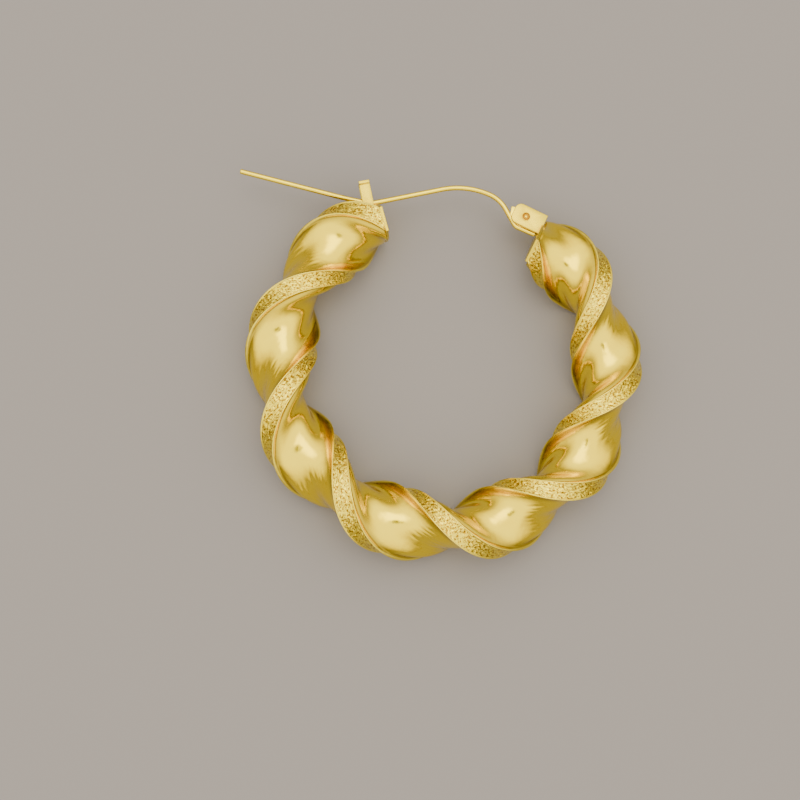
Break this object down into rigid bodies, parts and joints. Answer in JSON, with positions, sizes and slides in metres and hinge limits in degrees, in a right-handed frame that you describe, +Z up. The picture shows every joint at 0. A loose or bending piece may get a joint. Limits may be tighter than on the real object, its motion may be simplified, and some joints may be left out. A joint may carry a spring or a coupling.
{
  "type": "twisted hoop earring",
  "caption": "Hollow twisted bar bent into a hoop, with a flat cap on each end, a hinged ear wire that swings out of a split catch, lying on its side.",
  "frame": {"origin": "on the surface that the earring lies on, under the middle of its whole outline", "axes": "+Z up, square to the hoop's plane; +Y from the hoop's centre towards the ear wire; +X towards the hinge"},
  "size_m": [0.0506, 0.0492, 0.009],
  "materials": {
    "polished_gold": "polished pale yellow gold",
    "rivet_gold": "punched yellow gold rivet",
    "wire_gold": "drawn and polished yellow gold wire"
  },
  "bodies": {
    "hoop": {"twisted_hoop": "polished_gold", "hinge_rivet": "rivet_gold"},
    "wire": {"ear_wire": "wire_gold"}
  },
  "joints": [
    {"name": "wire_hinge", "type": "hinge", "parent": "hoop", "child": "wire", "pos_m": [0.01097, 0.01866, 0.00448], "axis": [0, 0, -1], "range_deg": [0, 75]}
  ]
}
